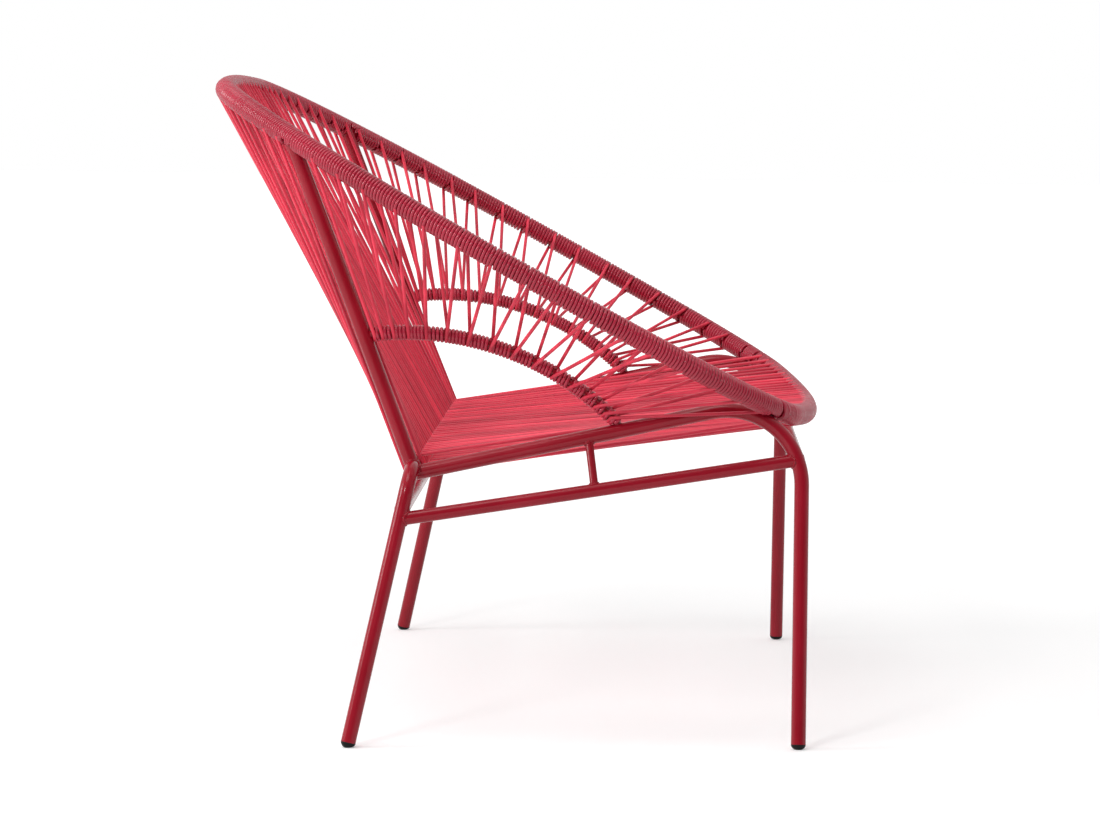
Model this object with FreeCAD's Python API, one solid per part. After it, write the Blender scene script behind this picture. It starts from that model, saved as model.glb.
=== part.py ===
"""String-laced two-seat garden bench: welded steel tube frame, oval rim and resin string lacing.

Millimetres. X runs across the bench, -Y is the front, +Z is up, and the floor is Z = 0.
"""

import FreeCAD, Part
import collections
import math
import os

Vec = FreeCAD.Vector

# Tubes and string
TUBE_D = 18.0
TUBE_WALL = 1.2
STRETCHER_D = 16.0
STRUT_D = 10.0
ARC_ROD_D = 10.0
STRING_D = 4.5
SEAT_GAP = 0.15
STRING_SIDES = 5
BORE_SIDES = 6
BENT_SIDES = 12
WRAP_SIDES = 8
HOOP_SIDES = 6
ARC_WRAP_SIDES = 6
ARC_ROD_SIDES = 4

# Oval rim, a ring of tangent arcs in one tilted plane
RIM_TILT_DEG = 28.5
RIM_CENTRE_Z = 580.0
RIM_HALF_LENGTH = 427.0
RIM_HALF_WIDTH = 613.0
RIM_WIDEST = -25.0
RIM_SIDE_R = 700.0
RIM_BACK_R = 2800.0
RIM_BACK_CORNER_R = 435.0
RIM_FRONT_R = 2400.0
RIM_FRONT_CORNER_R = 230.0

# Rear frame: two raked legs and the crease bar in one bent tube
CREASE_Y = 112.0
CREASE_Z = 329.0
CREASE_INSET = 78.0
REAR_FOOT_Y = 182.0
REAR_SPLAY = 50.0
REAR_BEND_R = 36.0

# Side frames
JOINT_INSET = 37.0
UPRIGHT_LEAN = 21.5022
LEG_LEAN = 15.0929
FRONT_SPLAY = 58.0
FRONT_BEND_R = 90.0
RAIL_DROP = 7.5
STRETCHER_REAR_Z = 270.0
STRETCHER_FRONT_Z = 344.0
STRUT_RAIL_Y = -99.0
STRUT_STRETCHER_Y = -108.0
FRONT_CROSS_Z = 345.0
REAR_CROSS_Z = 282.0

# Side arcs, between the back uprights and the seat rails
ARC_REAR_Z = 486.7
ARC_FOOT_Y = -135.0
ARC_TOP_R = 356.0
ARC_FOOT_R = 20.0

# Lacing: counts, clear lengths beside the joints and how far the side strings crowd to the ends of their arc
BACK_STRINGS = 32
SEAT_STRINGS = BACK_STRINGS - 1
SIDE_STRINGS = 16
UPRIGHT_MARGIN = 14.0
LEG_SIDE_MARGIN = 20.0
LEG_FRONT_MARGIN = 12.0
LEG_BREAK = 4.0
CREASE_MARGIN = 18.0
ARC_REAR_MARGIN = 10.0
ARC_FOOT_MARGIN = 16.0
ARC_CROWDING = 0.75

# Foot caps
CAP_HEAD_H = 6.0
CAP_PLUG_H = 18.0
CAP_CLEARANCE = 0.1

CREASE_HALF_WIDTH = RIM_HALF_WIDTH - CREASE_INSET
JOINT_X = CREASE_HALF_WIDTH - JOINT_INSET
REAR_FOOT_X = CREASE_HALF_WIDTH + REAR_SPLAY
RAIL_Z = CREASE_Z - RAIL_DROP
STRING_HALF_SPAN = JOINT_X - CREASE_MARGIN
TUBE_R = TUBE_D / 2
STRING_R = STRING_D / 2
WRAP_R = TUBE_R + STRING_D
ARC_ROD_R = ARC_ROD_D / 2
ARC_WRAP_R = ARC_ROD_R + STRING_D
CAP_PLUG_R = (TUBE_R - TUBE_WALL) * math.cos(math.pi / BORE_SIDES) - CAP_CLEARANCE
TILT = math.radians(RIM_TILT_DEG)
RIM_NORMAL = Vec(0, -math.sin(TILT), math.cos(TILT))
TINY = 1e-6
LEFT = 1
RIGHT = -1
SIDES = {"left": LEFT, "right": RIGHT}

# What a string runs to: a straight-looking stretch of bar, bare where both radii are the same
Bar = collections.namedtuple("Bar", "point ahead up core_r cover_r sides")


def unit(vector):
    """A copy of the vector with length 1."""
    copy = Vec(vector)
    copy.normalize()
    return copy


def save(name, shape):
    """Write one node's solids."""
    shape.exportStep(f"parts/{name}.step")


# Paths and tubes

def bent_path(points, radii):
    """A wire through the points, straight between them, with an arc of a given radius at each inner one."""
    edges = []
    start = points[0]
    for before, corner, after, radius in zip(points, points[1:], points[2:], radii):
        back = unit(before - corner)
        ahead = unit(after - corner)
        half = back.getAngle(ahead) / 2
        reach = radius / math.tan(half)
        middle = corner + unit(back + ahead) * (radius / math.sin(half) - radius)
        edges.append(Part.makeLine(start, corner + back * reach))
        edges.append(Part.Arc(corner + back * reach, middle, corner + ahead * reach).toShape())
        start = corner + ahead * reach
    edges.append(Part.makeLine(start, points[-1]))
    return Part.Wire(edges)


def rod_along(path, diameter, sides=0):
    """A solid rod along a wire, round unless a number of sides is given."""
    first = path.OrderedEdges[0]
    start = first.valueAt(first.FirstParameter)
    ahead = first.tangentAt(first.FirstParameter)
    outline = Part.Wire(Part.makeCircle(diameter / 2, start, ahead))
    if sides:
        outline = polygon_face(start, ahead, unit(ahead.cross(Vec(0, 0, 1))), diameter / 2, sides).OuterWire
    return path.makePipeShell([outline], True, False)


def tube_along(path, diameter, sides=0):
    """A tube along a wire, with a bore of a few flat sides."""
    return rod_along(path, diameter, sides).cut(rod_along(path, diameter - 2 * TUBE_WALL, BORE_SIDES))


def straight_tube(start, end, diameter):
    """A round tube between two points."""
    return tube_along(Part.makePolygon([start, end]), diameter)


def coped(tube, seats):
    """The main piece of a tube after it is cut to fit the solids that it meets."""
    return max(tube.cut(seats).Solids, key=lambda piece: piece.Volume)


def bearing(start, end):
    """Angle of the way from one point of the XY plane to another."""
    return math.atan2(end.y - start.y, end.x - start.x)


def circle_crossings(first, first_radius, second, second_radius):
    """The two points of the XY plane at the given distances from two others."""
    axis = unit(second - first)
    gap = first.distanceToPoint(second)
    along = (first_radius ** 2 - second_radius ** 2 + gap ** 2) / (2 * gap)
    across = Vec(axis.y, -axis.x, 0) * math.sqrt(first_radius ** 2 - along ** 2)
    middle = first + axis * along
    return middle + across, middle - across


# The rim: arcs as (centre across, centre along, radius, first angle, last angle) in its own plane

def corner_arc_centre(radius, end_radius, end_centre):
    """Centre of the arc that joins the side arc to an end arc on the right of the rim."""
    side = Vec(RIM_HALF_WIDTH - RIM_SIDE_R, RIM_WIDEST, 0)
    end = Vec(0, end_centre, 0)
    choices = circle_crossings(side, RIM_SIDE_R - radius, end, end_radius - radius)
    return max(choices, key=lambda centre: centre.x)


def rim_arcs():
    """The rim's arcs in order, clockwise from the middle of the back as seen from above."""
    back = Vec(0, RIM_HALF_LENGTH - RIM_BACK_R, 0)
    front = Vec(0, RIM_FRONT_R - RIM_HALF_LENGTH, 0)
    side = Vec(RIM_HALF_WIDTH - RIM_SIDE_R, RIM_WIDEST, 0)
    back_corner = corner_arc_centre(RIM_BACK_CORNER_R, RIM_BACK_R, back.y)
    front_corner = corner_arc_centre(RIM_FRONT_CORNER_R, RIM_FRONT_R, front.y)
    turns = [
        math.pi / 2,
        bearing(back, back_corner),
        bearing(side, back_corner),
        bearing(side, front_corner),
        bearing(front, front_corner),
        -math.pi / 2,
    ]
    centres = [back, back_corner, side, front_corner, front]
    radii = [RIM_BACK_R, RIM_BACK_CORNER_R, RIM_SIDE_R, RIM_FRONT_CORNER_R, RIM_FRONT_R]
    right = list(zip(centres, radii, turns, turns[1:]))
    left = []
    for centre, radius, first, last in reversed(right):
        left.append((Vec(-centre.x, centre.y, 0), radius, math.pi - last, math.pi - first))
    return right + left


RIM_ARCS = rim_arcs()
RIM_LENGTH = sum(radius * (first - last) for _, radius, first, last in RIM_ARCS)


def on_rim_plane(across, along):
    """A point of the rim's plane in the bench's frame."""
    return Vec(across, along * math.cos(TILT), RIM_CENTRE_Z + along * math.sin(TILT))


def rim_arc_place(arc, distance):
    """Point and direction on one of the rim's arcs at a distance from its start."""
    centre, radius, first, _ = arc
    angle = first - distance / radius
    point = on_rim_plane(centre.x + radius * math.cos(angle), centre.y + radius * math.sin(angle))
    ahead = on_rim_plane(math.sin(angle), -math.cos(angle)) - on_rim_plane(0, 0)
    return point, ahead


def rim_station(distance):
    """Point and direction on the rim at a distance round it, clockwise from the middle of the back."""
    left_over = distance % RIM_LENGTH
    for arc in RIM_ARCS:
        length = arc[1] * (arc[2] - arc[3])
        if left_over <= length:
            break
        left_over -= length
    return rim_arc_place(arc, left_over)


def rim_distance(x, inner, outer):
    """Distance round the rim at this X, between one distance nearer the middle and one nearer the side."""
    while abs(outer - inner) > TINY:
        middle = (inner + outer) / 2
        if rim_station(middle)[0].x < x:
            inner = middle
        else:
            outer = middle
    return inner


def polygon_points(centre, normal, up, radius, sides):
    """Corners of a regular polygon round a point, with a flat side towards up."""
    across = normal.cross(up)
    turns = [2 * math.pi * (k + 0.5) / sides for k in range(sides)]
    return [centre + up * (radius * math.cos(turn)) + across * (radius * math.sin(turn)) for turn in turns]


def polygon_face(centre, normal, up, radius, sides):
    """A regular polygon round a point, with a flat side towards up."""
    points = polygon_points(centre, normal, up, radius, sides)
    return Part.Face(Part.makePolygon(points + points[:1]))


def rim_run(start, end, radius, sides):
    """A bar with a many-sided section along the rim, from one distance round it to another."""
    pieces = []
    passed = 0.0
    for arc in RIM_ARCS * 2:
        centre, arc_radius, first, last = arc
        low = max(start - passed, 0.0)
        high = min(end - passed, arc_radius * (first - last))
        passed += arc_radius * (first - last)
        if high - low > TINY:
            point, ahead = rim_arc_place(arc, low)
            section = polygon_face(point, ahead, RIM_NORMAL, radius, sides)
            turn = -math.degrees((high - low) / arc_radius)
            pieces.append(section.revolve(on_rim_plane(centre.x, centre.y), RIM_NORMAL, turn))
    return pieces[0].multiFuse(pieces[1:]).Solids[0]


WIDEST_STATION = sum(radius * (first - max(last, 0)) for _, radius, first, last in RIM_ARCS[:3])
UPRIGHT_STATION = rim_distance(JOINT_X - UPRIGHT_LEAN, 0, WIDEST_STATION)
LEG_STATION = rim_distance(JOINT_X - LEG_LEAN, RIM_LENGTH / 2, WIDEST_STATION)


def make_rim():
    """The bare rim hoop and the four lengths of string wound on it, open where a tube comes in."""
    hoop = rim_run(0, RIM_LENGTH, TUBE_R, HOOP_SIDES)
    save("rim_hoop", hoop)
    back_end = UPRIGHT_STATION - SEAT_GAP / 2
    side_start = UPRIGHT_STATION + SEAT_GAP / 2
    side_end = LEG_STATION - LEG_BREAK / 2
    front_start = LEG_STATION + LEG_BREAK / 2
    runs = {
        "rim_wrap_left": (side_start, side_end),
        "rim_wrap_front": (front_start, RIM_LENGTH - front_start),
        "rim_wrap_right": (RIM_LENGTH - side_end, RIM_LENGTH - side_start),
        "rim_wrap_back": (RIM_LENGTH - back_end, RIM_LENGTH + back_end),
    }
    opening_d = (TUBE_D + 2 * SEAT_GAP) / math.cos(math.pi / WRAP_SIDES)
    openings = []
    for side in SIDES.values():
        openings.append(rod_along(Part.makePolygon(upright_ends(side)), opening_d, WRAP_SIDES))
        openings.append(rod_along(front_leg_path(side), opening_d, WRAP_SIDES))
    for name, (start, end) in runs.items():
        wrap = rim_run(start, end, WRAP_R, WRAP_SIDES)
        hole = rim_run(start, end, TUBE_R + SEAT_GAP, HOOP_SIDES)
        save(name, coped(wrap, [hole] + openings))
    return hoop


# The frame under the rim

def rear_frame_points():
    """Foot, two corners and foot of the rear frame's tube."""
    return [
        foot_top(Vec(-REAR_FOOT_X, REAR_FOOT_Y, 0), Vec(-CREASE_HALF_WIDTH, CREASE_Y, CREASE_Z)),
        Vec(-CREASE_HALF_WIDTH, CREASE_Y, CREASE_Z),
        Vec(CREASE_HALF_WIDTH, CREASE_Y, CREASE_Z),
        foot_top(Vec(REAR_FOOT_X, REAR_FOOT_Y, 0), Vec(CREASE_HALF_WIDTH, CREASE_Y, CREASE_Z)),
    ]


def foot_top(foot, top):
    """The point on a leg's axis where its tube ends on the head of the foot cap."""
    return foot + unit(top - foot) * CAP_HEAD_H


def rail_corner(side):
    """Where the axes of a seat rail and its front leg would meet, so that the bend just carries the rim."""
    contact, _ = rim_station(LEG_STATION)
    bend = contact - RIM_NORMAL * (2 * TUBE_R + SEAT_GAP + FRONT_BEND_R)
    leg_y = bend.y - FRONT_BEND_R
    run = CREASE_Y - bend.y
    rise = bend.z - RAIL_Z
    slope = math.atan2(rise, run) + math.asin(FRONT_BEND_R / math.hypot(run, rise))
    return Vec(side * contact.x, leg_y, RAIL_Z + (CREASE_Y - leg_y) * math.tan(slope))


def front_foot(side):
    """Where a front leg's axis meets the floor."""
    corner = rail_corner(side)
    return Vec(corner.x + side * FRONT_SPLAY, corner.y, 0)


def front_leg_points(side):
    """Crease bar end, corner and foot of a side's rail and front leg."""
    corner = rail_corner(side)
    return [Vec(side * JOINT_X, CREASE_Y, RAIL_Z), corner, foot_top(front_foot(side), corner)]


def front_leg_path(side):
    """The axis of a side's rail and front leg."""
    return bent_path(front_leg_points(side), [FRONT_BEND_R])


def point_at(start, end, axis, value):
    """The point on the line from start to end where one coordinate has the given value."""
    share = (value - getattr(start, axis)) / (getattr(end, axis) - getattr(start, axis))
    return start + (end - start) * share


def front_leg_point(side, z):
    """The point on a front leg's axis, round its bend too, at this height."""
    _, corner, foot = front_leg_points(side)
    _, bend, leg = front_leg_path(side).OrderedEdges
    if z <= leg.valueAt(leg.FirstParameter).z:
        return point_at(corner, foot, "z", z)
    level = Part.makePlane(1, 1, Vec(corner.x, corner.y, z))
    crossings = bend.Curve.intersectCS(level.Surface)[0]
    return min((Vec(point.X, point.Y, point.Z) for point in crossings), key=lambda point: point.y)


def rear_leg_point(side, z):
    """The point on a rear leg's axis at this height."""
    foot, corner = rear_frame_points()[:2]
    point = point_at(foot, corner, "z", z)
    return Vec(side * abs(point.x), point.y, point.z)


def stretcher_ends(side):
    """Points on the rear and front leg axes that a side stretcher runs between."""
    return rear_leg_point(side, STRETCHER_REAR_Z), front_leg_point(side, STRETCHER_FRONT_Z)


def upright_ends(side):
    """Points on the crease bar and on the rim that a back upright runs between."""
    top, _ = rim_station(UPRIGHT_STATION)
    return Vec(side * JOINT_X, CREASE_Y, CREASE_Z), Vec(side * top.x, top.y, top.z)


def make_frame(hoop):
    """Every welded tube of the frame, coped where it meets another."""
    rear_path = bent_path(rear_frame_points(), [REAR_BEND_R, REAR_BEND_R])
    rear_rod = rod_along(rear_path, TUBE_D, BENT_SIDES)
    save("rear_frame", tube_along(rear_path, TUBE_D, BENT_SIDES))
    cross_seats = [rear_rod]
    for name, side in SIDES.items():
        leg_path = front_leg_path(side)
        leg_rod = rod_along(leg_path, TUBE_D, BENT_SIDES)
        save(f"front_leg_{name}", coped(tube_along(leg_path, TUBE_D, BENT_SIDES), [rear_rod]))

        low, high = upright_ends(side)
        upright = straight_tube(low, high, TUBE_D)
        save(f"back_upright_{name}", coped(upright, [rear_rod, leg_rod, hoop]))

        rear, front = stretcher_ends(side)
        stretcher = straight_tube(rear, front, STRETCHER_D)
        save(f"side_stretcher_{name}", coped(stretcher, [rear_rod, leg_rod]))
        stretcher_rod = rod_along(Part.makePolygon([rear, front]), STRETCHER_D)

        rail_end, corner, _ = front_leg_points(side)
        head = point_at(rail_end, corner, "y", STRUT_RAIL_Y)
        base = point_at(rear, front, "y", STRUT_STRETCHER_Y)
        strut = rod_along(Part.makePolygon([head, base]), STRUT_D, BENT_SIDES)
        save(f"spacer_strut_{name}", coped(strut, [leg_rod, stretcher_rod]))
        cross_seats += [leg_rod, stretcher_rod]

    for name, finder, height in (
        ("front_cross_tube", front_leg_point, FRONT_CROSS_Z),
        ("rear_cross_tube", rear_leg_point, REAR_CROSS_Z),
    ):
        cross = straight_tube(finder(LEFT, height), finder(RIGHT, height), TUBE_D)
        save(name, coped(cross, cross_seats))


def foot_cap(foot, top):
    """A plug and a head for the foot of a leg that runs up to a point, with the sole level on the floor."""
    axis = unit(top - foot)
    seat = foot_top(foot, top)
    plug = polygon_face(seat, axis, unit(axis.cross(Vec(0, 0, 1))), CAP_PLUG_R, BORE_SIDES)
    plug = plug.extrude(axis * CAP_PLUG_H)
    room = CAP_HEAD_H + TUBE_D
    head = Part.makeCylinder(TUBE_R, room, seat - axis * room, axis)
    above = Part.makeBox(2 * room, 2 * room, room, foot - Vec(room, room, 0))
    return plug.fuse(head.common(above)).Solids[0]


def make_foot_caps():
    """A pair of caps for the front feet and a pair for the rear ones."""
    front = []
    rear = []
    for side in SIDES.values():
        front.append(foot_cap(front_foot(side), rail_corner(side)))
        rear_top = Vec(side * CREASE_HALF_WIDTH, CREASE_Y, CREASE_Z)
        rear.append(foot_cap(Vec(side * REAR_FOOT_X, REAR_FOOT_Y, 0), rear_top))
    save("foot_caps_front", Part.makeCompound(front))
    save("foot_caps_rear", Part.makeCompound(rear))


# Side arcs: a rod with string wound round it, in an upright plane

def arc_ends(side):
    """Points on the upright's axis and the rail's axis that a side arc runs between."""
    low, high = upright_ends(side)
    rail_end, corner, _ = front_leg_points(side)
    return point_at(low, high, "z", ARC_REAR_Z), point_at(rail_end, corner, "y", ARC_FOOT_Y)


def side_arc_parts(side):
    """The arc's plane and its two arcs as (centre, along, radius, first angle, last angle), rear first."""
    rear, foot = arc_ends(side)
    along = unit(Vec(rear.x - foot.x, rear.y - foot.y, 0))
    normal = along.cross(Vec(0, 0, 1))
    reach = (rear - foot).dot(along)

    def place(distance, height):
        return Vec(foot.x, foot.y, 0) + along * distance + Vec(0, 0, height)

    end = Vec(reach, rear.z, 0)
    low = Vec(ARC_FOOT_R, foot.z, 0)
    choices = circle_crossings(end, ARC_TOP_R, low, ARC_TOP_R - ARC_FOOT_R)
    top = min(choices, key=lambda centre: centre.y)
    joint = bearing(top, low)
    return normal, [
        (place(top.x, top.y), along, ARC_TOP_R, bearing(top, end), joint),
        (place(low.x, low.y), along, ARC_FOOT_R, joint, math.pi),
    ]


def side_arc_length(side):
    """Length of a side arc between the axes at its ends."""
    return sum(radius * (last - first) for _, _, radius, first, last in side_arc_parts(side)[1])


def side_arc_place(arc, distance):
    """Point and direction on one arc of a side arc at a distance from its start."""
    centre, along, radius, first, _ = arc
    angle = first + distance / radius
    point = centre + along * (radius * math.cos(angle)) + Vec(0, 0, radius * math.sin(angle))
    return point, along * -math.sin(angle) + Vec(0, 0, math.cos(angle))


def side_arc_station(side, distance):
    """Point and direction on a side arc at a distance from its rear end."""
    top, low = side_arc_parts(side)[1]
    top_length = top[2] * (top[4] - top[3])
    if distance <= top_length:
        return side_arc_place(top, distance)
    return side_arc_place(low, distance - top_length)


def side_arc_run(side, radius, sides):
    """A bar with a many-sided section along a whole side arc."""
    normal, arcs = side_arc_parts(side)
    pieces = []
    for arc in arcs:
        centre, _, _, first, last = arc
        point, ahead = side_arc_place(arc, 0.0)
        section = polygon_face(point, ahead, normal, radius, sides)
        pieces.append(section.revolve(centre, normal, math.degrees(last - first)))
    return pieces[0].fuse(pieces[1]).Solids[0]


def make_side_arcs():
    """The side arcs' rods, coped to the upright and rail, and the string wound on them."""
    for name, side in SIDES.items():
        upright = rod_along(Part.makePolygon(upright_ends(side)), TUBE_D)
        rail = rod_along(front_leg_path(side), TUBE_D, BENT_SIDES)
        rod = side_arc_run(side, ARC_ROD_R, ARC_ROD_SIDES)
        save(f"side_arc_{name}", coped(rod, [upright, rail]))
        wrap = side_arc_run(side, ARC_WRAP_R, ARC_WRAP_SIDES)
        hole = side_arc_run(side, ARC_ROD_R + SEAT_GAP, ARC_ROD_SIDES)
        save(f"side_arc_wrap_{name}", coped(wrap, [upright, rail, hole]))


# Lacing: straight strings between two wound bars, leaving each one level with its layer of turns

def way_out(bar, corner, run):
    """How far a point inside a bar's winding must go along run to lie just outside it."""
    across = bar.ahead.cross(bar.up)
    flat_r = bar.cover_r * math.cos(math.pi / bar.sides) + SEAT_GAP
    ways = []
    for k in range(bar.sides):
        turn = 2 * math.pi * k / bar.sides
        flat = bar.up * math.cos(turn) + across * math.sin(turn)
        if flat.dot(run) > TINY:
            ways.append((flat_r - flat.dot(corner - bar.point)) / flat.dot(run))
    return min(ways)


def string_end(bar, other, facing):
    """Where a string towards another bar leaves this one, on the side that facing points to."""
    run = unit(other.point - bar.point)
    out = unit(bar.ahead.cross(run))
    if out.dot(facing) < 0:
        out = out * -1
    touch = bar.point + out * (bar.core_r + STRING_R + SEAT_GAP)
    if bar.cover_r == bar.core_r:
        return touch
    corners = polygon_points(touch, run, out, STRING_R, STRING_SIDES)
    return touch + run * max(way_out(bar, corner, run) for corner in corners)


def string_between(first, second, facing):
    """One string between two bars, on the side that facing points to."""
    start = string_end(first, second, facing)
    run = string_end(second, first, facing) - start
    along = unit(run)
    up = unit(facing - along * facing.dot(along))
    return polygon_face(start, along, up, STRING_R, STRING_SIDES).extrude(run)


def evenly(count, low, high):
    """Evenly spaced values, the first and last on the limits."""
    return [low + (high - low) * k / (count - 1) for k in range(count)]


def midway(count, low, high):
    """Evenly spaced values, half a step in from both limits."""
    return [low + (high - low) * (k + 0.5) / count for k in range(count)]


def crowded(count, low, high, crowding):
    """Values from even spacing (crowding 0) to a cosine's crowding at both limits (crowding 1)."""
    values = []
    for place in midway(count, 0, 1):
        eased = (1 - math.cos(math.pi * place)) / 2
        values.append(low + (high - low) * (place + (eased - place) * crowding))
    return values


def rim_bar(distance):
    """The wound rim at a distance round it, as an end for a string."""
    point, ahead = rim_station(distance)
    return Bar(point, ahead, RIM_NORMAL, TUBE_R, WRAP_R, WRAP_SIDES)


def crease_bar(x):
    """The bare crease bar at this X, as an end for a string."""
    return Bar(Vec(x, CREASE_Y, CREASE_Z), Vec(1, 0, 0), Vec(0, 0, 1), TUBE_R, TUBE_R, BENT_SIDES)


def arc_bar(side, distance):
    """The wound side arc at a distance along it, as an end for a string."""
    point, ahead = side_arc_station(side, distance)
    return Bar(point, ahead, side_arc_parts(side)[0], ARC_ROD_R, ARC_WRAP_R, ARC_WRAP_SIDES)


def make_panels():
    """Back and seat strings, a layer on each face of the rim and the crease bar."""
    back_end = UPRIGHT_STATION - UPRIGHT_MARGIN
    front_start = LEG_STATION + LEG_FRONT_MARGIN
    back = list(zip(
        evenly(BACK_STRINGS, -back_end, back_end),
        evenly(BACK_STRINGS, -STRING_HALF_SPAN, STRING_HALF_SPAN),
    ))
    seat = list(zip(
        midway(SEAT_STRINGS, RIM_LENGTH - front_start, front_start),
        midway(SEAT_STRINGS, -STRING_HALF_SPAN, STRING_HALF_SPAN),
    ))
    layers = {
        "back_strings_front": (back, Vec(0, -1, 0)),
        "back_strings_rear": (back, Vec(0, 1, 0)),
        "seat_strings_top": (seat, Vec(0, 0, 1)),
        "seat_strings_bottom": (seat, Vec(0, 0, -1)),
    }
    for name, (pairs, facing) in layers.items():
        strings = [string_between(rim_bar(distance), crease_bar(x), facing) for distance, x in pairs]
        save(name, Part.makeCompound(strings))


def make_side_lacing():
    """Zigzag strings from the side arcs to the rim: steep ones inside, forward-leaning ones outside."""
    for name, side in SIDES.items():
        rim_end = LEG_STATION - LEG_SIDE_MARGIN
        rim_places = evenly(SIDE_STRINGS + 1, UPRIGHT_STATION + UPRIGHT_MARGIN, rim_end)
        arc_end = side_arc_length(side) - ARC_FOOT_MARGIN
        arc_places = crowded(SIDE_STRINGS, ARC_REAR_MARGIN, arc_end, ARC_CROWDING)
        if side == RIGHT:
            rim_places = [RIM_LENGTH - distance for distance in rim_places]
        outward = Vec(side, 0, 0)
        inner = []
        outer = []
        for k, place in enumerate(arc_places):
            inner.append(string_between(rim_bar(rim_places[k]), arc_bar(side, place), outward * -1))
            outer.append(string_between(rim_bar(rim_places[k + 1]), arc_bar(side, place), outward))
        save(f"side_strings_{name}_inner", Part.makeCompound(inner))
        save(f"side_strings_{name}_outer", Part.makeCompound(outer))


os.makedirs("parts", exist_ok=True)
make_frame(make_rim())
make_foot_caps()
make_side_arcs()
make_panels()
make_side_lacing()
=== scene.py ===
import math
import random

import bmesh
import bpy
from mathutils import Matrix, Vector


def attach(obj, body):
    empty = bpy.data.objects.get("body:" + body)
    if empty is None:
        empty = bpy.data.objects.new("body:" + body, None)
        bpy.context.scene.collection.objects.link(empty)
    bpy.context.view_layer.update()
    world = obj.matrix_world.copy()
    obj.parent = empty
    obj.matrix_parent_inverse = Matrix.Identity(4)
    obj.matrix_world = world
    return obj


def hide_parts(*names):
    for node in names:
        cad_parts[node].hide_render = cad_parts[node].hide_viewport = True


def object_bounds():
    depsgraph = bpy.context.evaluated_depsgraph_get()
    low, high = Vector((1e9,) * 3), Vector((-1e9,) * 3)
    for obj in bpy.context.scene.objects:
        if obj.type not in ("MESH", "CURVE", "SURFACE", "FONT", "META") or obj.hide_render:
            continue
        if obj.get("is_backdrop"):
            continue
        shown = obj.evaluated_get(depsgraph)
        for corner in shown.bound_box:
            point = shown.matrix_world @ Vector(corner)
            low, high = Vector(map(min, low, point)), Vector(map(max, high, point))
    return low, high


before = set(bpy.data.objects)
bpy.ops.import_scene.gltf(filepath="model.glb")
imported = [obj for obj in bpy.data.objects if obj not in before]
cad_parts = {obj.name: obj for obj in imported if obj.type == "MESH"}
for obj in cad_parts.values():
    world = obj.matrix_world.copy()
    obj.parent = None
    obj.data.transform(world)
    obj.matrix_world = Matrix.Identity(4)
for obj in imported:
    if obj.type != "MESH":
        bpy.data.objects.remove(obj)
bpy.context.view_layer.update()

# The bench's own dimensions, in millimetres, as its solids have them
MM = 0.001
TUBE_R = 9.0
STRETCHER_R = 8.0
STRUT_R = 5.0
ARC_ROD_R = 5.0
STRING_R = 2.25
STRING_D = 2 * STRING_R
SEAT_GAP = 0.15
RIM_TILT = math.radians(28.5)
RIM_CENTRE_Z = 580.0
RIM_HALF_LENGTH = 427.0
RIM_HALF_WIDTH = 613.0
RIM_WIDEST = -25.0
RIM_SIDE_R = 700.0
RIM_BACK_R = 2800.0
RIM_BACK_CORNER_R = 435.0
RIM_FRONT_R = 2400.0
RIM_FRONT_CORNER_R = 230.0
CREASE_Y = 112.0
CREASE_Z = 329.0
CREASE_HALF_WIDTH = 535.0
REAR_FOOT = Vector((585, 182, 0))
REAR_BEND_R = 36.0
JOINT_X = 498.0
UPRIGHT_RIM_Y = 265.0
LEG_RIM_Y = -318.0
FRONT_SPLAY = 58.0
FRONT_BEND_R = 90.0
RAIL_Z = 321.5
STRETCHER_REAR_Z = 270.0
STRETCHER_FRONT_Z = 344.0
STRUT_RAIL_Y = -99.0
STRUT_STRETCHER_Y = -108.0
FRONT_CROSS_Z = 345.0
REAR_CROSS_Z = 282.0
ARC_REAR_Z = 486.7
ARC_FOOT_Y = -135.0
ARC_TOP_R = 356.0
ARC_FOOT_R = 20.0
BACK_STRINGS = 32
SEAT_STRINGS = 31
SIDE_STRINGS = 16
UPRIGHT_MARGIN = 14.0
LEG_SIDE_MARGIN = 20.0
LEG_FRONT_MARGIN = 12.0
STRING_HALF_SPAN = 480.0
ARC_REAR_MARGIN = 10.0
ARC_FOOT_MARGIN = 16.0
ARC_CROWDING = 0.75
CAP_HEAD_H = 6.0
SIDES = {"left": 1, "right": -1}
UP = Vector((0, 0, 1))
RIM_UP = Vector((0, -math.sin(RIM_TILT), math.cos(RIM_TILT)))

# Fineness of the round forms, and the small forms that only the scene has
HOOP_STEPS = 240
BEND_STEPS = 40
TURN_STEPS = 16
TURN_START = math.radians(105)
LOOP_STEPS = 10
ROD_STEPS = 60
RIM_PRECISION = 1e-6
STRING_FINENESS = 2
TUBE_FINENESS = 12
BEAD_FINENESS = 3
LACING_SEED = 7
LACING_DRIFT = 3.0
BREAK_SHIFT = 8.0
TURN_LEAN = 0.4
LEAN_REACH = 60.0
WELD_STEPS = 28
WELD_R = 1.5
WELD_RIPPLE = 0.25
CROSS_WELD_SHARE = 0.9
PAD_STEPS = 32
PAD_RINGS = 8
PAD_SOLE = 0.25

# Looks that all materials share
DRIFT_LIMITS = (0.3, 0.7)
COLOUR_DETAIL = 3.0
SURFACE_DETAIL = 2.0
GRAIN_STRENGTH = 0.25
WHITE = (1, 1, 1, 1)

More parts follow.
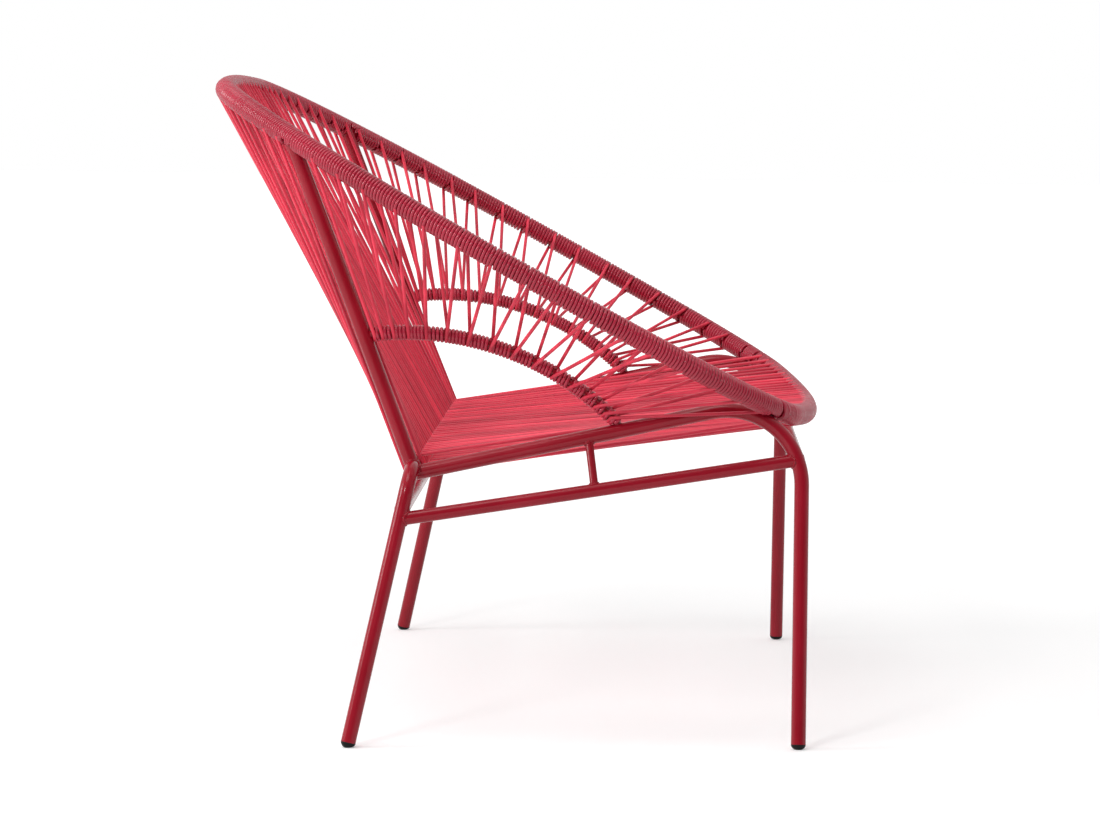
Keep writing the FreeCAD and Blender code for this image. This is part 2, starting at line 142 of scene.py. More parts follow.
# Studio and camera, in metres and radians, but lens and sensor in millimetres
FLOOR_SIZE = 60
FLOOR_COLOUR = (0.8, 0.8, 0.8, 1)
FLOOR_ROUGHNESS = 0.9
FLOOR_GLOW = (0.22, 0.66)
FLOOR_GLOW_REACH = (1, 5)
SKY_BRIGHT_SIDE = (0.6, 0.4, 0.6)
SKY_REACH = (-1, 1)
SKY_LIGHT = (0.05, 0.95)
GLOSS_BRIGHT_SIDE = (1, 0, 0)
GLOSS_REACH = (-0.8, 0.0)
GLOSS_LIGHT = (0.1, 1)
LIT_POINT = Vector((0, 0, 0.5))
CAMERA_PLACE = Vector((-5.978, -0.1824, 0.800))
CAMERA_LENS = 149.56
CAMERA_SENSOR = 36
CAMERA_REACH = 200
CAMERA_YAW = 0.02371
CAMERA_PITCH = 0.073208
CAMERA_ROLL = 0.013413

random.seed(LACING_SEED)


def bearing(start, end):
    """Angle of the way from one point of a plane to another."""
    return math.atan2(end.y - start.y, end.x - start.x)


def crossings(first, first_radius, second, second_radius):
    """The two points of a plane at the given distances from two others."""
    axis = (second - first).normalized()
    gap = (second - first).length
    along = (first_radius ** 2 - second_radius ** 2 + gap ** 2) / (2 * gap)
    across = Vector((axis.y, -axis.x)) * math.sqrt(first_radius ** 2 - along ** 2)
    middle = first + axis * along
    return middle + across, middle - across


# The rim's path: tangent arcs in one tilted plane

def rim_point(across, along):
    """A point of the rim's plane."""
    return Vector((across, along * math.cos(RIM_TILT), RIM_CENTRE_Z + along * math.sin(RIM_TILT)))


def rim_arcs():
    """The rim's arcs as (centre, radius, first angle, last angle), clockwise from the back's middle."""
    back = Vector((0, RIM_HALF_LENGTH - RIM_BACK_R))
    front = Vector((0, RIM_FRONT_R - RIM_HALF_LENGTH))
    side = Vector((RIM_HALF_WIDTH - RIM_SIDE_R, RIM_WIDEST))

    def corner(radius, end, end_radius):
        centres = crossings(side, RIM_SIDE_R - radius, end, end_radius - radius)
        return max(centres, key=lambda centre: centre.x)

    back_corner = corner(RIM_BACK_CORNER_R, back, RIM_BACK_R)
    front_corner = corner(RIM_FRONT_CORNER_R, front, RIM_FRONT_R)
    turns = [
        math.pi / 2,
        bearing(back, back_corner),
        bearing(side, back_corner),
        bearing(side, front_corner),
        bearing(front, front_corner),
        -math.pi / 2,
    ]
    centres = [back, back_corner, side, front_corner, front]
    radii = [RIM_BACK_R, RIM_BACK_CORNER_R, RIM_SIDE_R, RIM_FRONT_CORNER_R, RIM_FRONT_R]
    right = list(zip(centres, radii, turns, turns[1:]))
    left = []
    for centre, radius, first, last in reversed(right):
        left.append((Vector((-centre.x, centre.y)), radius, math.pi - last, math.pi - first))
    return right + left


RIM_ARCS = rim_arcs()
RIM_LENGTH = sum(radius * (first - last) for _, radius, first, last in RIM_ARCS)


def rim_at(distance):
    """Point and direction on the rim, clockwise from the middle of the back."""
    left_over = distance % RIM_LENGTH
    for centre, radius, first, last in RIM_ARCS:
        if left_over <= radius * (first - last):
            break
        left_over -= radius * (first - last)
    angle = first - left_over / radius
    point = rim_point(centre.x + radius * math.cos(angle), centre.y + radius * math.sin(angle))
    return point, rim_point(math.sin(angle), -math.cos(angle)) - rim_point(0, 0)


def rim_distance(y):
    """Distance round the rim to the point on its first side at this Y."""
    low = 0.0
    high = RIM_LENGTH / 2
    while high - low > RIM_PRECISION:
        middle = (low + high) / 2
        if rim_at(middle)[0].y > y:
            low = middle
        else:
            high = middle
    return low


UPRIGHT_AT = rim_distance(UPRIGHT_RIM_Y)
LEG_AT = rim_distance(LEG_RIM_Y)


# The frame's axes

def mirrored(point, side):
    """The point on one side of the bench that stands for a point on the left."""
    return Vector((side * point.x, point.y, point.z))


def cut_at(start, end, axis, value):
    """The point on a line where one coordinate has the given value."""
    return start + (end - start) * ((value - start[axis]) / (end[axis] - start[axis]))


def foot_top(foot, top):
    """Where a leg's tube ends on its foot cap."""
    return foot + (top - foot).normalized() * CAP_HEAD_H


def rail_corner(side):
    """Where the axes of a rail and its front leg would meet."""
    contact = rim_at(LEG_AT)[0]
    bend = contact - RIM_UP * (2 * TUBE_R + SEAT_GAP + FRONT_BEND_R)
    leg_y = bend.y - FRONT_BEND_R
    run = CREASE_Y - bend.y
    rise = bend.z - RAIL_Z
    slope = math.atan2(rise, run) + math.asin(FRONT_BEND_R / math.hypot(run, rise))
    return Vector((side * contact.x, leg_y, RAIL_Z + (CREASE_Y - leg_y) * math.tan(slope)))


def front_foot(side):
    """Where a front leg's axis meets the floor."""
    corner = rail_corner(side)
    return Vector((corner.x + side * FRONT_SPLAY, corner.y, 0))


def front_leg(side):
    """Rear end of a rail, the corner of its axis with the leg's, and the end of the leg."""
    corner = rail_corner(side)
    return [Vector((side * JOINT_X, CREASE_Y, RAIL_Z)), corner, foot_top(front_foot(side), corner)]


def crease_corner(side):
    """Where the axes of the crease bar and a rear leg would meet."""
    return Vector((side * CREASE_HALF_WIDTH, CREASE_Y, CREASE_Z))


def rear_leg(side):
    """Foot and corner of a rear leg."""
    corner = crease_corner(side)
    return foot_top(mirrored(REAR_FOOT, side), corner), corner


def rounded(points, radius):
    """The line through the points, with its inner corners bent to a radius."""
    path = [points[0]]
    for before, corner, after in zip(points, points[1:], points[2:]):
        back = (before - corner).normalized()
        ahead = (after - corner).normalized()
        half = back.angle(ahead) / 2
        reach = radius / math.tan(half)
        centre = corner + (back + ahead).normalized() * (radius / math.sin(half))
        start = corner + back * reach - centre
        normal = start.cross(corner + ahead * reach - centre).normalized()
        turn = math.pi - 2 * half
        for k in range(BEND_STEPS + 1):
            path.append(centre + Matrix.Rotation(turn * k / BEND_STEPS, 3, normal) @ start)
    path.append(points[-1])
    return path


def front_leg_path(side):
    """The axis of a rail and front leg."""
    return rounded(front_leg(side), FRONT_BEND_R)


def front_leg_span(side, z):
    """The short stretch of a front leg's axis that comes down past this height."""
    path = front_leg_path(side)
    return [(high, low) for high, low in zip(path, path[1:]) if low.z < z <= high.z][0]


def front_leg_at(side, z):
    """The point on a front leg's axis at this height."""
    return cut_at(*front_leg_span(side, z), 2, z)


def rear_leg_at(side, z):
    """The point on a rear leg's axis at this height."""
    return cut_at(*rear_leg(side), 2, z)


def stretcher(side):
    """Rear and front end of a side stretcher's axis."""
    return rear_leg_at(side, STRETCHER_REAR_Z), front_leg_at(side, STRETCHER_FRONT_Z)


def strut(side):
    """Head and base of a spacer strut's axis."""
    rail, corner, _ = front_leg(side)
    return cut_at(rail, corner, 1, STRUT_RAIL_Y), cut_at(*stretcher(side), 1, STRUT_STRETCHER_Y)


def upright(side):
    """Base and top of a back upright's axis."""
    return Vector((side * JOINT_X, CREASE_Y, CREASE_Z)), mirrored(rim_at(UPRIGHT_AT)[0], side)


def side_arc(side):
    """A side arc's two arcs as (centre, along, radius, first angle, last angle), from upright to rail."""
    rear = cut_at(*upright(side), 2, ARC_REAR_Z)
    rail, corner, _ = front_leg(side)
    foot = cut_at(rail, corner, 1, ARC_FOOT_Y)
    along = Vector((rear.x - foot.x, rear.y - foot.y, 0)).normalized()
    end = Vector(((rear - foot).dot(along), rear.z))
    low = Vector((ARC_FOOT_R, foot.z))
    top = min(crossings(end, ARC_TOP_R, low, ARC_TOP_R - ARC_FOOT_R), key=lambda centre: centre.y)
    joint = bearing(top, low)

    def place(centre):
        return Vector((foot.x, foot.y, 0)) + along * centre.x + UP * centre.y

    return [
        (place(top), along, ARC_TOP_R, bearing(top, end), joint),
        (place(low), along, ARC_FOOT_R, joint, math.pi),
    ]


def side_arc_length(side):
    """Length of a side arc between the axes at its ends."""
    return sum(radius * (last - first) for _, _, radius, first, last in side_arc(side))


def side_arc_at(side, distance):
    """Point and direction on a side arc at a distance from its rear end."""
    for centre, along, radius, first, last in side_arc(side):
        if distance <= radius * (last - first):
            break
        distance -= radius * (last - first)
    angle = first + distance / radius
    point = centre + along * (radius * math.cos(angle)) + UP * (radius * math.sin(angle))
    return point, along * -math.sin(angle) + UP * math.cos(angle)


# Materials

def ranged(nodes, links, value, limits, results):
    """A value moved from one range to another."""
    mapped = nodes.new("ShaderNodeMapRange")
    mapped.inputs["From Min"].default_value = limits[0]
    mapped.inputs["From Max"].default_value = limits[1]
    mapped.inputs["To Min"].default_value = results[0]
    mapped.inputs["To Max"].default_value = results[1]
    links.new(value, mapped.inputs["Value"])
    return mapped.outputs["Result"]


def add_noise(nodes, links, scales, detail):
    """A noise pattern in the bench's own frame, with so many waves to a metre along X, Y and Z."""
    place = nodes.new("ShaderNodeTexCoord")
    spread = nodes.new("ShaderNodeVectorMath")
    spread.operation = "MULTIPLY"
    spread.inputs[1].default_value = scales
    noise = nodes.new("ShaderNodeTexNoise")
    noise.inputs["Scale"].default_value = 1
    noise.inputs["Detail"].default_value = detail
    links.new(place.outputs["Object"], spread.inputs[0])
    links.new(spread.outputs["Vector"], noise.inputs["Vector"])
    return noise.outputs["Fac"]


def drifting_material(name, dark, light, drift, roughness, specular, grain, grain_depth):
    """A material whose colour and roughness drift, with a fine grain in its surface."""
    material = bpy.data.materials.new(name)
    material.use_nodes = True
    nodes = material.node_tree.nodes
    links = material.node_tree.links
    shader = nodes["Principled BSDF"]
    shader.inputs["Specular IOR Level"].default_value = specular

    ramp = nodes.new("ShaderNodeValToRGB")
    for element, position, colour in zip(ramp.color_ramp.elements, DRIFT_LIMITS, (dark, light)):
        element.position = position
        element.color = (*colour, 1)
    links.new(add_noise(nodes, links, drift, COLOUR_DETAIL), ramp.inputs["Fac"])
    links.new(ramp.outputs["Color"], shader.inputs["Base Color"])

    wear = add_noise(nodes, links, drift, SURFACE_DETAIL)
    links.new(ranged(nodes, links, wear, (0, 1), roughness), shader.inputs["Roughness"])

    bump = nodes.new("ShaderNodeBump")
    bump.inputs["Strength"].default_value = GRAIN_STRENGTH
    bump.inputs["Distance"].default_value = grain_depth * MM
    links.new(add_noise(nodes, links, (grain, grain, grain), SURFACE_DETAIL), bump.inputs["Height"])
    links.new(bump.outputs["Normal"], shader.inputs["Normal"])
    return material


# The lacing string's tone drifts from string to string across X: partly a random tone of each string,
# partly painted shade that stands in for the dark gaps between bunched strings
STRING = drifting_material(
    "lacing_string",
    dark=(0.44, 0.016, 0.040),
    light=(0.92, 0.056, 0.104),
    drift=(45, 4, 4),
    roughness=(0.30, 0.44),
    specular=0.3,
    grain=500,
    grain_depth=0.15,
)
# The same string as the lacing, painted darker: painted shade for the shadow between the close turns of a
# winding
SHADED_WINDING = drifting_material(
    "shaded_winding_string",
    dark=(0.34, 0.010, 0.031),
    light=(0.44, 0.018, 0.047),
    drift=(9, 9, 9),
    roughness=(0.20, 0.30),
    specular=0.45,
    grain=500,
    grain_depth=0.15,
)
PAINT = drifting_material(
    "frame_paint",
    dark=(0.25, 0.003, 0.012),
    light=(0.31, 0.005, 0.018),
    drift=(14, 14, 14),
    roughness=(0.18, 0.26),
    specular=0.28,
    grain=900,
    grain_depth=0.10,
)
RUBBER = drifting_material(
    "foot_rubber",
    dark=(0.004, 0.004, 0.004),
    light=(0.010, 0.010, 0.010),
    drift=(160, 160, 160),
    roughness=(0.45, 0.60),
    specular=0.15,
    grain=1400,
    grain_depth=0.20,
)


# Pieces made of round runs

def add_piece(name, data, material, nodes):
    """Put a mesh or curve in the scene as a piece that stands for the named CAD nodes."""
    piece = bpy.data.objects.new(name, data)
    bpy.context.scene.collection.objects.link(piece)
    data.materials.append(material)
    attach(piece, "root")
    if nodes:
        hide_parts(*nodes)


def round_runs(name, runs, radius, fineness, material, nodes=(), closed=False, ripple=0.0):
    """Round rods along lists of points, as one piece."""
    curve = bpy.data.curves.new(name, "CURVE")
    curve.dimensions = "3D"
    curve.bevel_depth = radius * MM
    curve.bevel_resolution = fineness
    curve.use_fill_caps = True
    for run in runs:
        spline = curve.splines.new("POLY")
        spline.points.add(len(run) - 1)
        for point, place in zip(spline.points, run):
            point.co = (*(place * MM), 1)
            point.radius = 1 + random.uniform(-ripple, ripple)
        spline.use_cyclic_u = closed
        spline.use_smooth = True
    add_piece(name, curve, material, nodes)


def string_piece(name, runs, nodes):
    """Lacing string as one piece."""
    round_runs(name, runs, STRING_R, STRING_FINENESS, STRING, nodes)


def winding_piece(name, runs, nodes):
    """String wound on a bar as one piece, in a darker copy of the string colour that paints in the shade
    between its turns.
    """
    round_runs(name, runs, STRING_R, STRING_FINENESS, SHADED_WINDING, nodes)


def tube_piece(name, path, radius, nodes, closed=False):
    """A painted tube or rod as one piece."""
    round_runs(name, [path], radius, TUBE_FINENESS, PAINT, nodes, closed)


# Lacing: where the strings go, and how they turn round the bars

def evenly(count, low, high):
    """Evenly spaced values, the first and last on the limits."""
    return [low + (high - low) * k / (count - 1) for k in range(count)]


def midway(count, low, high):
    """Evenly spaced values, half a step in from both limits."""
    return [low + (high - low) * (k + 0.5) / count for k in range(count)]


def crowded(count, low, high):
    """Values that crowd towards both limits."""
    values = []
    for place in midway(count, 0, 1):
        eased = (1 - math.cos(math.pi * place)) / 2
        values.append(low + (high - low) * (place + (eased - place) * ARC_CROWDING))
    return values


def drifted(values):
    """Values moved a little at random between the first and the last, as hand lacing is."""
    inner = [value + random.uniform(-LACING_DRIFT, LACING_DRIFT) for value in values[1:-1]]
    return [values[0], *inner, values[-1]]


def rim_bar(distance):
    """Point, direction and string radius of the rim at a distance round it."""
    return (*rim_at(distance), TUBE_R + STRING_R)


def crease_bar(x):
    """Point, direction and string radius of the crease bar at this X."""
    return Vector((x, CREASE_Y, CREASE_Z)), Vector((1, 0, 0)), TUBE_R + STRING_R


def arc_bar(side, distance):
    """Point, direction and string radius of a side arc at a distance along it."""
    return (*side_arc_at(side, distance), ARC_ROD_R + STRING_R)


def leaves(bar, other, facing):
    """Which way from a bar's middle a string to another bar leaves it."""
    out = bar[1].cross(other[0] - bar[0]).normalized()
    return out if out.dot(facing) > 0 else -out


def turn_round(bar, first, last, away):
    """Points of a string that goes round a bar from one side to another, by way of the far side."""
    point, ahead, radius = bar
    across = ahead.cross(first).normalized()
    end = math.atan2(last.dot(across), last.dot(first))
    middle = math.atan2(away.dot(across), away.dot(first))
    if (end > 0) != (middle > 0):
        end -= math.copysign(2 * math.pi, end)
    points = []
    for k in range(LOOP_STEPS + 1):
        angle = end * k / LOOP_STEPS
        points.append(point + (first * math.cos(angle) + across * math.sin(angle)) * radius)
    return points


def looped(rims, bars, facing):
    """Turns round the rim, and the runs from them round other bars and back, one on each face."""
    turns = []
    runs = []
    for rim, bar in zip(rims, bars):
        away = rim[0] - bar[0]
        turn = turn_round(rim, leaves(rim, bar, -facing), leaves(rim, bar, facing), away)
        low = turn_round(bar, leaves(bar, rim, facing), leaves(bar, rim, -facing), -away)
        turns.append(turn)
        runs.append([turn[-1], *low, turn[0]])
    return turns, runs


def zigzag(rims, arcs, outward):
    """Turns round the rim, and the runs between them round a side arc, steep inside and leaning outside."""
    turns = []
    for rim, arc_before, arc in zip(rims, arcs[:1] + arcs, arcs + arcs[-1:]):
        come = leaves(rim, arc_before, outward)
        turns.append(turn_round(rim, come, leaves(rim, arc, -outward), rim[0] - arc[0]))
    runs = []
    for k, arc in enumerate(arcs):
        inner = leaves(arc, rims[k], -outward)
        low = turn_round(arc, inner, leaves(arc, rims[k + 1], outward), arc[0] - rims[k][0])
        runs.append([turns[k][-1], *low, turns[k + 1][0]])
    return turns, runs


# Windings: turns side by side that make room for the strings and end on a tube that comes in

def winding(bar_at, start, end, radius):
    """Turns of string round a bar from one distance along it to another."""
    count = max(1, round((end - start) / STRING_D))
    points = []
    for k in range(count * TURN_STEPS + 1):
        share = k / (count * TURN_STEPS)
        point, ahead, up = bar_at(start + (end - start) * share)
        angle = TURN_START + 2 * math.pi * share * count
        points.append(point + (up * math.cos(angle) + ahead.cross(up) * math.sin(angle)) * radius)
    return points


def windings(bar_at, start, end, stops, radius):
    """Windings from start to end with room for a string at each stop."""
    lows = [start] + [stop + STRING_R for stop in sorted(stops)]
    highs = [stop - STRING_R for stop in sorted(stops)] + [end]
    return [winding(bar_at, low, high, radius) for low, high in zip(lows, highs)]


def off_path(point, path):
    """Distance from a point to a line through points."""
    distances = []
    for start, end in zip(path, path[1:]):
        way = end - start
        share = min(max((point - start).dot(way) / way.length_squared, 0), 1)
        distances.append((start + way * share - point).length)
    return min(distances)


def opened(runs, paths):
    """The parts of runs of string that stay clear of the tubes on the given paths."""
    parts = []
    for run in runs:
        part = []
        for point in run:
            if min(off_path(point, path) for path in paths) > TUBE_R + STRING_R:
                part.append(point)
            else:
                parts.append(part)
                part = []
        parts.append(part)
    return [part for part in parts if len(part) > 1]


def rim_frame(distance):
    """Point, direction and normal of the rim at a distance round it."""
    return (*rim_at(distance), RIM_UP)


# Back, seat and side lacing

rim_stops = {}
rim_turns = {}

back_end = UPRIGHT_AT - UPRIGHT_MARGIN
rim_stops["back"] = drifted(evenly(BACK_STRINGS, -back_end, back_end))
back_rims = [rim_bar(distance) for distance in rim_stops["back"]]
back_bars = [crease_bar(x) for x in drifted(evenly(BACK_STRINGS, -STRING_HALF_SPAN, STRING_HALF_SPAN))]
rim_turns["back"], runs = looped(back_rims, back_bars, Vector((0, -1, 0)))
string_piece("back_lacing", runs, ("back_strings_front", "back_strings_rear"))

front_start = LEG_AT + LEG_FRONT_MARGIN
rim_stops["front"] = drifted(midway(SEAT_STRINGS, RIM_LENGTH - front_start, front_start))
seat_rims = [rim_bar(distance) for distance in rim_stops["front"]]
seat_bars = [crease_bar(x) for x in drifted(midway(SEAT_STRINGS, -STRING_HALF_SPAN, STRING_HALF_SPAN))]
rim_turns["front"], runs = looped(seat_rims, seat_bars, UP)
string_piece("seat_lacing", runs, ("seat_strings_top", "seat_strings_bottom"))

for name, side in SIDES.items():
    rim_places = drifted(evenly(SIDE_STRINGS + 1, UPRIGHT_AT + UPRIGHT_MARGIN, LEG_AT - LEG_SIDE_MARGIN))
    if side < 0:
        rim_places = [RIM_LENGTH - distance for distance in rim_places]
    rim_stops[name] = rim_places
    arc_length = side_arc_length(side)
    arc_places = crowded(SIDE_STRINGS, ARC_REAR_MARGIN, arc_length - ARC_FOOT_MARGIN)
    rims = [rim_bar(distance) for distance in rim_places]
    arcs = [arc_bar(side, distance) for distance in arc_places]
    rim_turns[name], runs = zigzag(rims, arcs, Vector((side, 0, 0)))
    string_piece(f"side_lacing_{name}", runs, (f"side_strings_{name}_outer", f"side_strings_{name}_inner"))

    def arc_frame(distance, side=side):
        return (*side_arc_at(side, distance), Vector((1, 0, 0)))

    turns = windings(arc_frame, 0, arc_length, arc_places, ARC_ROD_R + STRING_R)
    turns = opened(turns, [upright(side), front_leg_path(side)])
    winding_piece(f"side_arc_winding_{name}", turns, (f"side_arc_wrap_{name}",))
    rod = [side_arc_at(side, distance)[0] for distance in evenly(ROD_STEPS, 0, arc_length)]
    tube_piece(f"side_arc_rod_{name}", rod, ARC_ROD_R, (f"side_arc_{name}",))

# Windings on the rim

joints = [upright(side) for side in SIDES.values()] + [front_leg_path(side) for side in SIDES.values()]
side_end = LEG_AT + BREAK_SHIFT
seat_start = side_end + STRING_D + TURN_LEAN * (TUBE_R + STRING_R)
rim_runs = {
    "left": (UPRIGHT_AT, side_end),
    "front": (seat_start, RIM_LENGTH - seat_start),
    "right": (RIM_LENGTH - side_end, RIM_LENGTH - UPRIGHT_AT),
    "back": (-UPRIGHT_AT, UPRIGHT_AT),
}


def seat_frame(distance):
    """As rim_frame, but aslant next to the legs, where the first and last turns lean over the breaks."""
    point, ahead, up = rim_frame(distance)
    first = max(0, 1 - (distance - seat_start) / LEAN_REACH)
    last = max(0, 1 - (RIM_LENGTH - seat_start - distance) / LEAN_REACH)
    return point, ahead, up - ahead * (TURN_LEAN * (first - last))


for name, (start, end) in rim_runs.items():
    bar_at = seat_frame if name == "front" else rim_frame
    turns = opened(windings(bar_at, start, end, rim_stops[name], TUBE_R + STRING_R), joints)
    winding_piece(f"rim_winding_{name}", turns + rim_turns[name], (f"rim_wrap_{name}",))

# Bent tubes and struts

hoop = [rim_at(RIM_LENGTH * k / HOOP_STEPS)[0] for k in range(HOOP_STEPS)]
tube_piece("rim_tube", hoop, TUBE_R, ("rim_hoop",), True)
rear_points = [*rear_leg(-1), *reversed(rear_leg(1))]
tube_piece("rear_tube", rounded(rear_points, REAR_BEND_R), TUBE_R, ("rear_frame",))
for name, side in SIDES.items():
    tube_piece(f"front_leg_tube_{name}", front_leg_path(side), TUBE_R, (f"front_leg_{name}",))
    tube_piece(f"strut_rod_{name}", strut(side), STRUT_R, (f"spacer_strut_{name}",))


# Weld beads round the tube ends

def weld(outer, inner, radius, main, main_radius):
    """Runs of bead where a tube that goes from outer to inner meets the tube along main."""
    way = (inner - outer).normalized()
    across = way.orthogonal().normalized()
    beside = way.cross(across)
    line = (main[1] - main[0]).normalized()
    slope = way - line * way.dot(line)
    runs = [[]]
    for k in range(WELD_STEPS + 1):
        turn = 2 * math.pi * k / WELD_STEPS
        start = outer + (across * math.cos(turn) + beside * math.sin(turn)) * radius
        gap = start - main[0]
        gap -= line * gap.dot(line)
        half = gap.dot(slope) / slope.length_squared
        room = half ** 2 - (gap.length_squared - main_radius ** 2) / slope.length_squared
        if room >= 0:
            runs[-1].append(start - way * (half + math.sqrt(room)))
        else:
            runs.append([])
    return [run for run in runs if len(run) > 1]


beads = []
crease = (crease_corner(-1), crease_corner(1))
for side in SIDES.values():
    rail, corner, _ = front_leg(side)
    rear, front = stretcher(side)
    head, base = strut(side)
    low, high = upright(side)
    front_cross = front_leg_at(side, FRONT_CROSS_Z)
    rear_cross = rear_leg_at(side, REAR_CROSS_Z)
    front_span = front_leg_span(side, FRONT_CROSS_Z)
    beads += weld(base, head, STRUT_R, (rail, corner), TUBE_R)
    beads += weld(head, base, STRUT_R, (rear, front), STRETCHER_R)
    beads += weld(front, rear, STRETCHER_R, rear_leg(side), TUBE_R)
    beads += weld(rear, front, STRETCHER_R, front_span, TUBE_R)
    beads += weld(high, low, TUBE_R, crease, TUBE_R)
    beads += weld(corner, rail, TUBE_R, crease, TUBE_R)
    beads += weld(mirrored(front_cross, -1), front_cross, TUBE_R * CROSS_WELD_SHARE, front_span, TUBE_R)
    beads += weld(mirrored(rear_cross, -1), rear_cross, TUBE_R * CROSS_WELD_SHARE, rear_leg(side), TUBE_R)
round_runs("weld_beads", beads, WELD_R, BEAD_FINENESS, PAINT, ripple=WELD_RIPPLE)


# Domed foot caps

def foot_pads(name, node, legs):
    """A pair of domed caps with small level soles, as one piece."""
    mesh = bmesh.new()
    for foot, top in legs:
        axis = (top - foot).normalized()
        across = axis.orthogonal().normalized()
        beside = axis.cross(across)
        rings = []
        for k in range(PAD_RINGS + 1):
            turn = math.pi / 2 * k / PAD_RINGS
            narrow = PAD_SOLE + (1 - PAD_SOLE) * math.cos(turn)
            shrink = Matrix.Diagonal((narrow, narrow, 1 - math.sin(turn)))
            ring = []
            for angle in evenly(PAD_STEPS + 1, 0, 2 * math.pi)[:-1]:
                edge = axis * CAP_HEAD_H + (across * math.cos(angle) + beside * math.sin(angle)) * TUBE_R
                ring.append(mesh.verts.new((foot + shrink @ edge) * MM))
            rings.append(ring)
        for upper, lower in zip(rings, rings[1:]):
            for j in range(PAD_STEPS):
                mesh.faces.new((upper[j - 1], upper[j], lower[j], lower[j - 1]))
        mesh.faces.new(rings[0])
        mesh.faces.new(rings[-1])
    bmesh.ops.recalc_face_normals(mesh, faces=mesh.faces)
    for face in mesh.faces:
        face.smooth = len(face.verts) == 4
    data = bpy.data.meshes.new(name)
    mesh.to_mesh(data)
    mesh.free()
    add_piece(name, data, RUBBER, (node,))


front_legs = [(front_foot(side), rail_corner(side)) for side in SIDES.values()]
foot_pads("front_foot_pads", "foot_caps_front", front_legs)
rear_legs = [(mirrored(REAR_FOOT, side), crease_corner(side)) for side in SIDES.values()]
foot_pads("rear_foot_pads", "foot_caps_rear", rear_legs)

# CAD nodes, with the straight tubes among them still in view

for name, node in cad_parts.items():
    material = PAINT
    if name.startswith("foot_caps"):
        material = RUBBER
    elif "strings" in name or "wrap" in name:
        material = STRING
    node.data.materials.clear()
    node.data.materials.append(material)


# Floor, light and camera

def backdrop_rays(nodes, links):
    """1 for rays that show the backdrop, in view or in gloss, and 0 for those that light things."""
    rays = nodes.new("ShaderNodeLightPath")
    shown = rays.outputs["Is Camera Ray"]
    for kind in ("Is Glossy Ray", "Is Transmission Ray"):
        either = nodes.new("ShaderNodeMath")
        either.operation = "MAXIMUM"
        links.new(shown, either.inputs[0])
        links.new(rays.outputs[kind], either.inputs[1])
        shown = either.outputs["Value"]
    return shown


def sky_level(nodes, links, bright_side, limits, levels):
    """A level of the sky that rises towards one side."""
    toward = nodes.new("ShaderNodeVectorMath")
    toward.operation = "DOT_PRODUCT"
    toward.inputs[1].default_value = bright_side
    links.new(nodes.new("ShaderNodeTexCoord").outputs["Generated"], toward.inputs[0])
    return ranged(nodes, links, toward.outputs["Value"], limits, levels)


def chosen(nodes, links, switch, when_off, when_on):
    """One value where a switch is 0, another where it is 1."""
    choice = nodes.new("ShaderNodeMapRange")
    links.new(switch, choice.inputs["Value"])
    links.new(when_off, choice.inputs["To Min"])
    links.new(when_on, choice.inputs["To Max"])
    return choice.outputs["Result"]


# The sky is white in view, dimmer on the camera's side in gloss, and a soft light for the rest
world = bpy.data.worlds.new("studio")
bpy.context.scene.world = world
world.use_nodes = True
world_nodes = world.node_tree.nodes
world_links = world.node_tree.links
sky = world_nodes["Background"]
sky.inputs["Color"].default_value = WHITE
in_view = world_nodes.new("ShaderNodeMath")
in_view.operation = "MAXIMUM"
world_links.new(world_nodes.new("ShaderNodeLightPath").outputs["Is Camera Ray"], in_view.inputs[0])
gloss_level = sky_level(world_nodes, world_links, GLOSS_BRIGHT_SIDE, GLOSS_REACH, GLOSS_LIGHT)
world_links.new(gloss_level, in_view.inputs[1])
light_level = sky_level(world_nodes, world_links, SKY_BRIGHT_SIDE, SKY_REACH, SKY_LIGHT)
shows_sky = backdrop_rays(world_nodes, world_links)
sky_strength = chosen(world_nodes, world_links, shows_sky, light_level, in_view.outputs["Value"])
world_links.new(sky_strength, sky.inputs["Strength"])

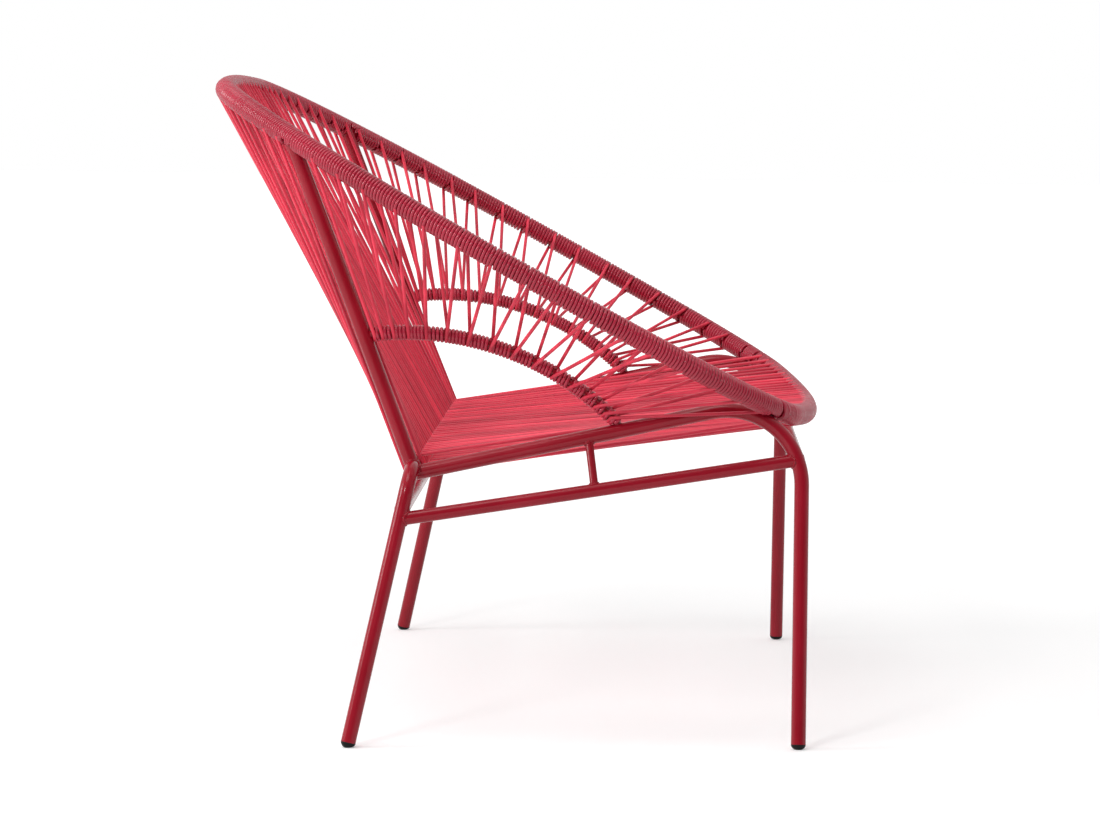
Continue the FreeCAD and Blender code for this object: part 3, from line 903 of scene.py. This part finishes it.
# The floor glows a little towards its far parts, so that it meets the sky without an edge
bpy.ops.mesh.primitive_plane_add(size=FLOOR_SIZE, location=(0, 0, 0))
floor = bpy.context.object
floor.name = "floor"
floor_material = bpy.data.materials.new("floor_paint")
floor_material.use_nodes = True
floor_nodes = floor_material.node_tree.nodes
floor_links = floor_material.node_tree.links
floor_shader = floor_nodes["Principled BSDF"]
floor_shader.inputs["Base Color"].default_value = FLOOR_COLOUR
floor_shader.inputs["Roughness"].default_value = FLOOR_ROUGHNESS
floor_shader.inputs["Emission Color"].default_value = WHITE
from_middle = floor_nodes.new("ShaderNodeVectorMath")
from_middle.operation = "LENGTH"
floor_links.new(floor_nodes.new("ShaderNodeTexCoord").outputs["Object"], from_middle.inputs[0])
distance = from_middle.outputs["Value"]
glow = floor_nodes.new("ShaderNodeMath")
glow.operation = "MULTIPLY"
floor_links.new(backdrop_rays(floor_nodes, floor_links), glow.inputs[0])
floor_links.new(ranged(floor_nodes, floor_links, distance, FLOOR_GLOW_REACH, FLOOR_GLOW), glow.inputs[1])
floor_links.new(glow.outputs["Value"], floor_shader.inputs["Emission Strength"])
floor.data.materials.append(floor_material)
floor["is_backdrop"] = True


def area_light(name, place, size, power):
    """A round soft light that points at the bench."""
    light = bpy.data.lights.new(name, "AREA")
    light.shape = "DISK"
    light.size = size
    light.energy = power
    lamp = bpy.data.objects.new(name, light)
    lamp.location = place
    lamp.rotation_euler = (LIT_POINT - Vector(place)).to_track_quat("-Z", "Y").to_euler()
    bpy.context.scene.collection.objects.link(lamp)


area_light("overhead", place=(-1.4, 0.6, 3.5), size=2.0, power=38)
area_light("fill", place=(-1.2, 4.0, 2.0), size=1.8, power=76)
area_light("front", place=(-4.6, 1.6, 2.6), size=0.8, power=56)

camera_data = bpy.data.cameras.new("camera")
camera_data.lens = CAMERA_LENS
camera_data.sensor_width = CAMERA_SENSOR
camera_data.clip_end = CAMERA_REACH
camera = bpy.data.objects.new("camera", camera_data)
bpy.context.scene.collection.objects.link(camera)
ahead = Vector((math.cos(CAMERA_YAW), math.sin(CAMERA_YAW), 0))
view = ahead * math.cos(CAMERA_PITCH) - UP * math.sin(CAMERA_PITCH)
flat_right = view.cross(UP).normalized()
flat_up = flat_right.cross(view)
right = flat_right * math.cos(CAMERA_ROLL) + flat_up * math.sin(CAMERA_ROLL)
upward = flat_up * math.cos(CAMERA_ROLL) - flat_right * math.sin(CAMERA_ROLL)
turned = Matrix((right, upward, -view)).transposed().to_4x4()
camera.matrix_world = Matrix.Translation(CAMERA_PLACE) @ turned
bpy.context.scene.camera = camera
bpy.context.scene.view_settings.view_transform = "Standard"

low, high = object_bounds()
